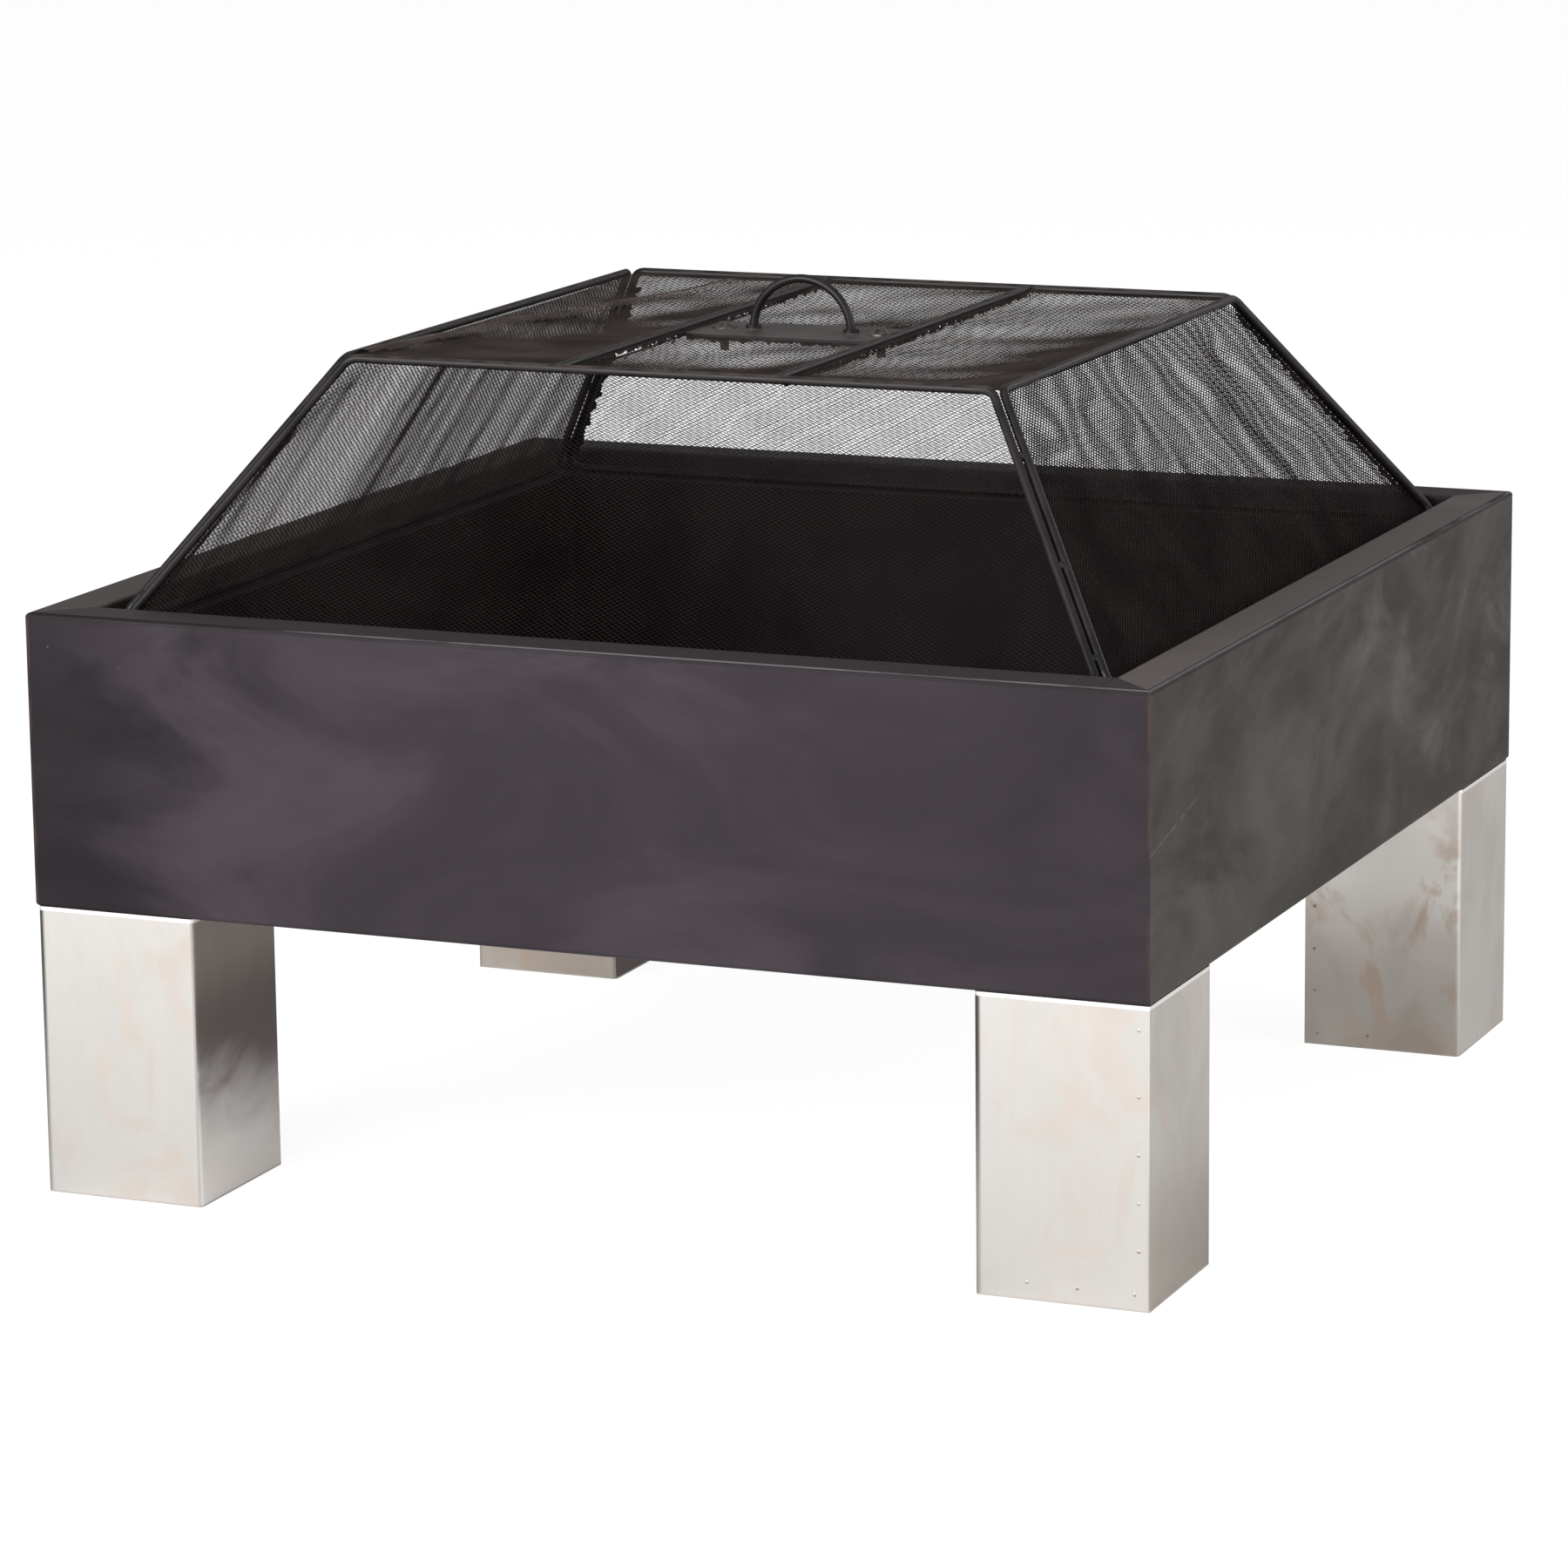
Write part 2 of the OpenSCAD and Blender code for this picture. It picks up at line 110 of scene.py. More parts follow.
def make_object(name, points, faces, material, body, smooth=True):
    """A mesh object from points and faces, riding on a CAD body."""
    mesh = bpy.data.meshes.new(name)
    mesh.from_pydata(np.asarray(points).tolist(), [], [list(f) for f in faces])
    mesh.polygons.foreach_set("use_smooth", np.full(len(mesh.polygons), smooth))
    mesh.materials.append(material)
    mesh.update()
    obj = bpy.data.objects.new(name, mesh)
    bpy.context.scene.collection.objects.link(obj)
    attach(obj, body)
    return obj


def ripples(seed, wavelength, count=9):
    """A smooth random height function of two coordinates, about -1 to 1."""
    rng = np.random.default_rng(seed)
    angles = rng.uniform(0, 2 * math.pi, count)
    waves = 2 * math.pi / (wavelength * rng.uniform(0.7, 1.6, count))
    phases = rng.uniform(0, 2 * math.pi, count)

    def height(x, y):
        total = np.zeros(np.shape(x))
        for angle, wave, phase in zip(angles, waves, phases):
            total = total + np.sin(wave * (x * math.cos(angle) + y * math.sin(angle)) + phase)
        return total / math.sqrt(count)

    return height


def spline_height(places):
    """A smooth height function through (x, y, height) places."""
    softness, tiny = 0.02, 1e-12
    known = np.array(places, float)
    xy = known[:, :2]
    count = len(known)

    def kernel(r2):
        return 0.5 * r2 * np.log(np.maximum(r2, tiny))

    r2 = ((xy[:, None, :] - xy[None, :, :]) ** 2).sum(2)
    plane = np.hstack([np.ones((count, 1)), xy])
    system = np.zeros((count + 3, count + 3))
    system[:count, :count] = kernel(r2) + softness * np.eye(count)
    system[:count, count:] = plane
    system[count:, :count] = plane.T
    weights = np.linalg.solve(system, np.append(known[:, 2], np.zeros(3)))

    def height(x, y):
        x, y = np.asarray(x, float), np.asarray(y, float)
        total = weights[count] + weights[count + 1] * x + weights[count + 2] * y
        for (px, py), weight in zip(xy, weights[:count]):
            total = total + weight * kernel((x - px) ** 2 + (y - py) ** 2)
        return total

    return height


# ---------------------------------------------------------------------------
# Netting
# ---------------------------------------------------------------------------

def strand_nodes(start, end, low, high, seed):
    """Rings along zigzag strands: the flat places, and which ring begins a strand."""
    rng = np.random.default_rng(seed)
    step_u, step_v = LONG_PITCH / 2, SHORT_PITCH / 2
    rows = np.arange(math.ceil(low / step_v), math.floor(high / step_v))
    reach = int(NET_SPAN / step_u)
    moved = rng.normal(0, NODE_JITTER, (len(rows) + 1, 2 * reach + 1, 2))
    flat, first = [], []
    for row in rows:
        middle = (row + 0.5) * step_v
        columns = np.arange(math.ceil(start(middle) / step_u), math.floor(end(middle) / step_u) + 1)
        if len(columns) < 3:
            continue
        level = row + (columns + row) % 2
        place = np.stack([columns * step_u, level * step_v], 1)
        place += moved[level - rows[0], columns + reach]
        flat.append(place)
        first.append(np.arange(len(place)) == 0)
    return np.concatenate(flat), np.concatenate(first)


def netting(surface, start, end, low, high, seed, tilt):
    """Points and faces of expanded-metal netting laid on a surface.

    surface(u, v) gives points; start(v) and end(v) bound each strand, low and high bound v.
    """
    flat, first = strand_nodes(start, end, low, high, seed)
    u, v = flat[:, 0], flat[:, 1]
    probe = 0.4 * MM
    middle = surface(u, v)
    along = surface(u + probe, v) - surface(u - probe, v)
    across = surface(u, v + probe) - surface(u, v - probe)
    along /= np.linalg.norm(along, axis=1, keepdims=True)
    normal = np.cross(along, across)
    normal /= np.linalg.norm(normal, axis=1, keepdims=True)
    across = np.cross(normal, along)
    slant = math.atan2(SHORT_PITCH, LONG_PITCH)
    flat_way = across * math.cos(tilt) / math.cos(slant) + normal * math.sin(tilt)
    thick_way = normal * math.cos(tilt) - across * math.sin(tilt)
    points = np.stack([
        middle + flat_way * STRAND_W / 2,
        middle - flat_way * STRAND_W / 2,
        middle + thick_way * STRAND_T,
    ], 1).reshape(-1, 3)
    rings = np.arange(len(flat))
    joined = rings[1:][~first[1:]]
    faces = []
    for side in range(3):
        after = (side + 1) % 3
        quads = np.stack([
            3 * (joined - 1) + side,
            3 * (joined - 1) + after,
            3 * joined + after,
            3 * joined + side,
        ], 1)
        faces.extend(quads.tolist())
    last = np.append(first[1:], True)
    for ring in rings[first]:
        faces.append([3 * ring + 2, 3 * ring + 1, 3 * ring])
    for ring in rings[last]:
        faces.append([3 * ring, 3 * ring + 1, 3 * ring + 2])
    return points, faces


def side_surface(turn, folds):
    """The surface of a leaning side's netting, against the inside of its rods."""
    rotation = np.array(Matrix.Rotation(math.radians(turn), 3, "Z"))
    up = np.array([0, math.sin(LEAN), math.cos(LEAN)])
    out = np.array([0, -math.cos(LEAN), math.sin(LEAN)])
    base = np.array([0, -BASE_HALF, BASE_Z])
    lie = ROD_R + NET_GAP

    def place(u, v):
        half = BASE_HALF - v * math.sin(LEAN)
        edge = np.minimum(np.minimum(half - np.abs(u), v), SLOPE - v)
        hold = np.clip(edge / SIDE_HOLD, 0, 1) ** 1.5
        depth = -lie + folds(u, v) * hold
        local = base + np.outer(u, [1, 0, 0]) + np.outer(v, up) + np.outer(depth, out)
        return local @ rotation.T

    return place


def crease(along_u, lean, width, depth):
    """A crease that runs up a side at along_u, leaning by lean metres of u for each metre of slope."""
    def folds(u, v):
        away = (u - along_u - lean * v) / width
        return depth * np.exp(-away ** 2)

    return folds


def dent(along_u, up_v, width, depth):
    """A round hollow in a side, or a bulge if depth is positive."""
    def folds(u, v):
        return depth * np.exp(-((u - along_u) ** 2 + (v - up_v) ** 2) / width ** 2)

    return folds


def pleats(seed, width, depth):
    """Fine soft folds that run up a side, about width across."""
    count = 7
    rng = np.random.default_rng(seed)
    waves = 2 * math.pi / (width * rng.uniform(0.8, 2.4, count))
    leans = rng.uniform(-0.10, 0.10, count)
    phases = rng.uniform(0, 2 * math.pi, count)

    def folds(u, v):
        total = np.zeros(np.shape(u))
        for wave, lean, phase in zip(waves, leans, phases):
            total = total + np.sin(wave * (u - lean * v) + phase) / wave
        return depth * total * waves.min()

    return folds


def folds_of(creases, seed, rough, wavelength=0.05):
    """Creases and small ripples added together."""
    small = ripples(seed, wavelength)

    def folds(u, v):
        total = rough * small(u, v)
        for each in creases:
            total = total + each(u, v)
        return total

    return folds


# u runs from left to right seen from outside the side; v up the slope
SIDE_FOLDS = {
    "front": folds_of([
        crease(-0.12, 0.0, 0.06, -1.2 * MM),
        crease(0.10, 0.1, 0.07, -1.5 * MM),
    ], 21, 0.15 * MM),
    "rear": folds_of([
        crease(0.05, 0.0, 0.08, -1.8 * MM),
        crease(-0.14, 0.1, 0.06, -1.2 * MM),
    ], 22, 0.40 * MM, 0.045),
    "left": folds_of([
        crease(0.074, 0.0, 0.044, -2.3 * MM),
        crease(0.190, 0.0, 0.080, 1.6 * MM),
        crease(-0.030, -0.02, 0.018, -0.20 * MM),
        crease(-0.066, 0.02, 0.017, -0.16 * MM),
        crease(-0.100, 0.0, 0.070, 1.0 * MM),
        pleats(51, 0.022, 0.08 * MM),
        dent(0.200, 0.175, 0.045, -2.2 * MM),
    ], 23, 0.04 * MM, 0.035),
    "right": folds_of([
        crease(0.150, -0.12, 0.026, -1.6 * MM),
        crease(0.070, -0.05, 0.050, 0.8 * MM),
        crease(-0.060, 0.10, 0.060, -1.0 * MM),
    ], 24, 0.45 * MM, 0.05),
}


def side_netting(side, material):
    """Netting of one leaning side, cut clear of the rods' bends."""
    foot_gap, top_gap, top_clear = 1.2 * MM, 0.3 * MM, 3 * MM

    def half(v):
        room = BASE_HALF - SIDE_INSET - v * math.sin(LEAN)
        near_end = min(v, SLOPE - top_clear - v)
        return room - max(0.0, SIDE_CORNER - near_end)

    points, faces = netting(
        side_surface(SIDE_TURNS[side], SIDE_FOLDS[side]),
        lambda v: -half(v), half, foot_gap, SLOPE - top_gap, SIDE_SEEDS[side], SIDE_TILTS[side],
    )
    obj = make_object(f"netting_{side}", points, faces, material, "spark_screen")
    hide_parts(f"screen_{side}_mesh")


def edge_places(x_low, x_high, y_half, left, right):
    """Spline places along a top section's four edges, at given heights for its two long edges."""
    long_count, short_count = 9, 5
    places = []
    for y in np.linspace(-y_half, y_half, long_count):
        places.append((x_low, y, left))
        places.append((x_high, y, right))
    for x in np.linspace(x_low, x_high, short_count)[1:-1]:
        places.append((x, -y_half, 0.0))
        places.append((x, y_half, 0.0))
    return places


def in_metres(places):
    """Spline places given in millimetres, in metres."""
    return [(x * MM, y * MM, z * MM) for x, y, z in places]


# How the loose top netting sags and folds: (x, y, height over the rails' middle line) in millimetres
TOP_SAG = {
    "left": [
        (-115, -174, 2.5), (-84, -165, 1.5), (-150, -165, 1.0), (-180, -150, -0.5),
        (-175, -60, -4), (-176, 10, -5), (-180, 90, -6), (-170, 130, -7), (-180, 165, -3),
        (-150, -90, -8), (-120, -90, -10), (-125, -20, -12), (-130, 50, -11), (-95, -60, -8),
        (-90, 20, -9), (-90, 100, -6), (-125, 120, -5), (-110, 170, -1),
    ],
    "middle": [
        (-52, -180, -2), (-52, -150, -4), (-25, -160, -7), (0, -142, -13), (30, -115, -16), (55, -98, -15),
        (0, -175, -5), (30, -165, -6), (55, -150, -8),
        (-45, -110, -9), (0, -90, -12), (45, -60, -10.5), (-45, -60, -8),
        (-50, -24, -5.2), (0, -24, -5.2), (50, -24, -5.2),
        (-50, 24, -5.2), (0, 24, -5.2), (50, 24, -5.2),
        (-45, 50, -10), (0, 55, -13), (45, 62, -14), (-45, 110, -7), (0, 120, -6), (45, 120, -7),
        (-30, 165, -1), (30, 165, -1),
    ],
    "right": [
        (85, -165, -4), (120, -165, -7), (150, -160, -9), (180, -165, -5),
        (90, -110, -6), (138, -110, -15), (163, -110, -8), (184, -95, -4),
        (90, -40, -6), (140, -40, -16), (165, -50, -8), (185, -20, -4),
        (90, 30, -6), (142, 20, -15), (165, 22, -7), (180, 30, -7), (178, 62, -3),
        (85, 100, -1.5), (95, 160, -5), (118, 80, -9), (142, 60, -13), (160, 80, -8), (184, 110, -7),
        (118, 150, -7), (150, 130, -9), (172, 150, -5), (176, 178, -1),
    ],
}
TOP_SPANS = {
    "left": (-TOP_HALF, -BAR_X - ROD_R),
    "middle": (-BAR_X + ROD_R, BAR_X - ROD_R),
    "right": (BAR_X + ROD_R, TOP_HALF),
}


def top_surface(section):
    """The sagging surface of one section of the top netting, with its cut edges bent down."""
    x_low, x_high = TOP_SPANS[section]
    left = 0.0 if section == "left" else BAR_GRIP
    right = 0.0 if section == "right" else BAR_GRIP
    sag = spline_height(edge_places(x_low, x_high, TOP_HALF, left, right) + in_metres(TOP_SAG[section]))
    small = ripples(SEED + len(section), 0.06)

    def place(u, v):
        x = np.clip(u, x_low, x_high)
        past = np.abs(u - x)
        edge = np.minimum(np.minimum(x - x_low, x_high - x), TOP_HALF - np.abs(v))
        hold = np.clip(edge / TOP_HOLD, 0, 1)
        z = TOP_Z + sag(x, v) + TOP_ROUGH * small(x, v) * hold
        side = np.sign(x - u)
        outwards, down = 0.25, 0.95
        return np.stack([x - side * outwards * past, v, z - down * past], 1)

    return place


def top_netting(section, material):
    """One section of the top netting; where it meets a cross bar its edge is ragged and hangs."""
    rng = np.random.default_rng(SEED + 3 * len(section))
    x_low, x_high = TOP_SPANS[section]
    end_gap = 1.5 * MM
    knots = np.linspace(-TOP_HALF, TOP_HALF, FRINGE_KNOTS)
    ragged = {side: rng.uniform(0.35, 1.0, len(knots)) * FRINGE for side in ("low", "high")}
    on_bar = {"low": section != "left", "high": section != "right"}

    def reach(side, v):
        if on_bar[side]:
            return float(np.interp(v, knots, ragged[side]))
        return -max(0.0, TOP_CORNER - (TOP_HALF - abs(v)))

    points, faces = netting(
        top_surface(section),
        lambda v: x_low - reach("low", v),
        lambda v: x_high + reach("high", v),
        end_gap - TOP_HALF, TOP_HALF - end_gap, SEED + 5 * len(section), TOP_TILT,
    )
    obj = make_object(f"netting_top_{section}", points, faces, material, "spark_screen")
    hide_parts(f"top_mesh_{section}")


# The left side's netting is rolled over onto the top: (y, outer x, inner x) of the roll, in millimetres
ROLL_PLACES = [
    (-185, -196, -184), (-100, -193, -178), (-9, -184, -168), (60, -168, -151), (120, -146, -129),
    (172, -126, -108),
]


def rolled_edge(material):
    """The narrow rolled edge of netting that lies across the top's left section."""
    lift = 0.6 * MM
    below = top_surface("left")
    way, outer, inner = (np.array(column) * MM for column in zip(*ROLL_PLACES))

    def place(u, v):
        low, high = np.interp(v, way, outer), np.interp(v, way, inner)
        share = np.clip((u - low) / (high - low), 0, 1)
        points = below(u, v)
        points[:, 2] += lift + ROLL_HEIGHT * np.sin(np.pi * share) ** 0.8
        return points

    points, faces = netting(
        place,
        lambda v: float(np.interp(v, way, outer)),
        lambda v: float(np.interp(v, way, inner)),
        way[0], way[-1], SEED + 60, TOP_TILT,
    )
    make_object("netting_rolled_edge", points, faces, material, "spark_screen")


def ragged_strip(points, faces, line, drop, depth, seed):
    """Adds a thin strip with a ragged edge: it follows line, and its teeth reach along drop."""
    period, shortest = 14 * MM, 0.25 * MM
    rng = np.random.default_rng(seed)
    start, end = (np.array(p, float) for p in line)
    length = np.linalg.norm(end - start)
    count = int(length / STRIP_STEP)
    shares = np.linspace(0, 1, count + 1)
    knots = np.cumsum(rng.uniform(0.5, 1.5, int(3 * length / period)) * period)
    tooth = np.searchsorted(knots, shares * length)
    low = np.append(0, knots)[tooth]
    phase = (shares * length - low) / (knots[tooth] - low)
    reach = depth * (0.30 + 0.62 * (1 - phase) * rng.uniform(0.6, 1.0, len(knots) + 1)[tooth])
    reach += rng.uniform(-0.22, 0.22, count + 1) * depth
    along = (end - start) / length
    drop = np.array(drop, float)
    drop /= np.linalg.norm(drop)
    side = np.cross(along, drop) * STRIP_THICKNESS / 2
    first = len(points)
    for share, out in zip(shares, reach):
        base = start + (end - start) * share
        tip = base + drop * max(out, shortest)
        points.extend([tuple(base - side), tuple(base + side), tuple(tip + side), tuple(tip - side)])
    for ring in range(count):
        a = first + 4 * ring
        for k in range(4):
            n = (k + 1) % 4
            faces.append((a + k, a + n, a + 4 + n, a + 4 + k))
    faces.append((first + 3, first + 2, first + 1, first))
    last = first + 4 * count
    faces.append((last, last + 1, last + 2, last + 3))


def cut_edges(material):
    """The nettings' rough cut edges, bent down at the cross bars and plate, and in at the rear corners."""
    points, faces = [], []
    bar_depth, plate_depth, corner_depth = 4.6 * MM, 3.6 * MM, 5.0 * MM
    end_gap, beside_bar, under_middle = 7 * MM, 0.3 * MM, 0.6 * MM
    for i, (bar, side) in enumerate([(-1, -1), (-1, 1), (1, -1), (1, 1)]):
        x = bar * BAR_X + side * (ROD_R + beside_bar)
        z = TOP_Z - under_middle
        line = ((x, -TOP_HALF + end_gap, z), (x, TOP_HALF - end_gap, z))
        ragged_strip(points, faces, line, (side * 0.12, 0, -1), bar_depth, SEED + 70 + i)
    across = BAR_X - ROD_R - 1 * MM
    front, low = PLATE_LOW.y + 0.8 * MM, PLATE_LOW.z
    under_plate = ((-across, front, low), (across, front, low))
    ragged_strip(points, faces, under_plate, (0, 0, -1), plate_depth, SEED + 78)
    up = np.array([0, -math.sin(LEAN), math.cos(LEAN)])
    inward = np.array([0, -math.cos(LEAN), -math.sin(LEAN)])
    from_corner, from_rod = 12 * MM, 7.2 * MM
    for i, side in enumerate((-1, 1)):
        ends = []
        for v in (from_corner, SLOPE - from_corner):
            across = side * (BASE_HALF - from_rod - v * math.sin(LEAN))
            ends.append(np.array([0, BASE_HALF, BASE_Z]) + up * v + inward * ROD_R * 0.6 + [across, 0, 0])
        ragged_strip(points, faces, ends, (-side, 0, 0), corner_depth, SEED + 80 + i)
    make_object("netting_cut_edges", points, faces, material, "spark_screen", smooth=False)


# ---------------------------------------------------------------------------
# Small marks
# ---------------------------------------------------------------------------

def add_dome(points, faces, centre, normal, radius, height, segments=12, rings=3):
    """Adds a low round bump to lists of points and faces."""
    normal = Vector(normal).normalized()
    side = normal.orthogonal().normalized()
    other = normal.cross(side)
    first = len(points)
    for ring in range(rings):
        share = ring / rings
        rise = height * math.sin(share * math.pi / 2)
        spread = radius * math.cos(share * math.pi / 2)
        for i in range(segments):
            angle = 2 * math.pi * i / segments
            offset = side * math.cos(angle) * spread + other * math.sin(angle) * spread
            points.append(tuple(Vector(centre) + offset + normal * rise))
    points.append(tuple(Vector(centre) + normal * height))
    top = len(points) - 1
    for ring in range(rings - 1):
        for i in range(segments):
            a = first + ring * segments + i
            b = first + ring * segments + (i + 1) % segments
            faces.append((a, b, b + segments, a + segments))
    last = first + (rings - 1) * segments
    for i in range(segments):
        faces.append((last + i, last + (i + 1) % segments, top))


def leg_spot_welds(material):
    """Small spot welds along the foot cap and the seam of every leg."""
    spot_r, spot_h = 1.0 * MM, 0.16 * MM
    from_fold, over_foot, uneven = 6 * MM, 8 * MM, 1.5
    seam_faces = {
        "front_left": [((0, 1), -1)],
        "front_right": [((0, -1), 1)],
        "rear_left": [((1, 0), 1)],
        "rear_right": [((0, -1), -1), ((-1, 0), -1)],
    }
    seam_heights = [0.20, 0.36, 0.52, 0.70, 0.92]
    cap_places = [-0.40, 0.18, 0.83]
    for corner in CORNERS:
        low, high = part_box(f"leg_{corner}")
        centre, half, height = (low + high) / 2, (high.x - low.x) / 2, high.z - low.z
        points, faces = [], []
        rng = np.random.default_rng(SEED + len(corner))
        for (nx, ny), side in seam_faces[corner]:
            normal = Vector((nx, ny, 0))
            along = Vector((abs(ny), abs(nx), 0)) * side
            spots = [(half - from_fold, height * place) for place in seam_heights]
            spots += [(half * place, over_foot) for place in cap_places]
            for across, up in spots:
                z = low.z + up + rng.uniform(-uneven, uneven) * MM
                spot = Vector((centre.x, centre.y, z)) + along * across + normal * half
                add_dome(points, faces, spot, normal, spot_r, spot_h)
        make_object(f"spot_welds_{corner}", points, faces, material, "root")


def bar_end_welds(material):
    """Weld blobs where the cross bars meet the front and rear rails."""
    points, faces = [], []
    blob_r, blob_h, from_middle = 2.1 * MM, 1.5 * MM, 1.9 * MM
    for x in (-BAR_X, BAR_X):
        for y in (-1, 1):
            for side in (-1, 1):
                centre = (x + side * from_middle, y * (TOP_HALF - ROD_R * 0.9), TOP_Z)
                add_dome(points, faces, centre, (side * 0.6, -y, 0.25), blob_r, blob_h)
    make_object("cross_bar_welds", points, faces, material, "spark_screen")


# ---------------------------------------------------------------------------
# Finishes
# ---------------------------------------------------------------------------

class Finish:
    """A procedural material: a Principled shader, with short calls that add nodes to it."""

    def __init__(self, name):
        self.material = bpy.data.materials.new(name)
        self.material.use_nodes = True
        self.tree = self.material.node_tree
        self.shader = self.tree.nodes["Principled BSDF"]
        self.place = self.add("ShaderNodeTexCoord").outputs["Object"]
        parts = self.add("ShaderNodeSeparateXYZ", {0: self.place})
        self.x, self.y, self.z = parts.outputs[0], parts.outputs[1], parts.outputs[2]

    def add(self, kind, values=None, **settings):
        """A new node; each of its inputs in values is linked, if a socket, or else set."""
        node = self.tree.nodes.new(kind)
        for name, value in settings.items():
            setattr(node, name, value)
        for key, value in (values or {}).items():
            if isinstance(value, bpy.types.NodeSocket):
                self.tree.links.new(value, node.inputs[key])
            else:
                node.inputs[key].default_value = value
        return node

    def math(self, operation, a, b=0.0, c=0.0):
        """The result of a math node."""
        return self.add("ShaderNodeMath", {0: a, 1: b, 2: c}, operation=operation).outputs[0]

    def noise(self, scale, detail=3.0, stretch=(1, 1, 1), roughness=0.5, distortion=0.0):
        """Soft noise over the object, from 0 to 1."""
        mapping = self.add("ShaderNodeMapping", {"Vector": self.place, "Scale": stretch})
        values = {
            "Vector": mapping.outputs[0],
            "Scale": scale,
            "Detail": detail,
            "Roughness": roughness,
            "Distortion": distortion,
        }
        return self.add("ShaderNodeTexNoise", values).outputs[0]

    def between(self, value, low, high, start=0.0, end=1.0):
        """Smoothly from start to end while value goes from low to high."""
        values = {0: value, 1: low, 2: high, 3: start, 4: end}
        return self.add("ShaderNodeMapRange", values, interpolation_type="SMOOTHSTEP").outputs[0]

    def on_face(self, value, face, inward):
        """Where value is at a flat face; inward is 1 if the piece lies above that value, and -1 if below."""
        return self.between(value, face + inward * 1.2 * MM, face + inward * 0.5 * MM)

    def mix(self, share, a, b):
        """A colour that goes from a to b with share."""
        node = self.add("ShaderNodeMix", data_type="RGBA")
        sockets = {
            "share": node.inputs[0],
            "a": node.inputs[6],
            "b": node.inputs[7],
        }
        for key, value in {"share": share, "a": a, "b": b}.items():
            if isinstance(value, bpy.types.NodeSocket):
                self.tree.links.new(value, sockets[key])
            elif key == "share":
                sockets[key].default_value = value
            else:
                sockets[key].default_value = (*value, 1)
        return node.outputs[2]

    def blend(self, share, a, b):
        """A number that goes from a to b with share."""
        return self.add("ShaderNodeMapRange", {0: share, 1: 0.0, 2: 1.0, 3: a, 4: b}).outputs[0]

    def all_of(self, *shares):
        """The product of shares: where all of them hold."""
        total = shares[0]
        for share in shares[1:]:
            total = self.math("MULTIPLY", total, share)
        return total

    def bump(self, height, strength, distance):
        """Makes the surface look rough by height."""
        values = {"Height": height, "Strength": strength, "Distance": distance}
        node = self.add("ShaderNodeBump", values)
        self.tree.links.new(node.outputs[0], self.shader.inputs["Normal"])

    def set(self, **values):
        """Links or sets the shader's own inputs."""
        for key, value in values.items():
            socket = self.shader.inputs[key.replace("_", " ")]
            if isinstance(value, bpy.types.NodeSocket):
                self.tree.links.new(value, socket)
            elif isinstance(value, tuple):
                socket.default_value = (*value, 1)
            else:
                socket.default_value = value


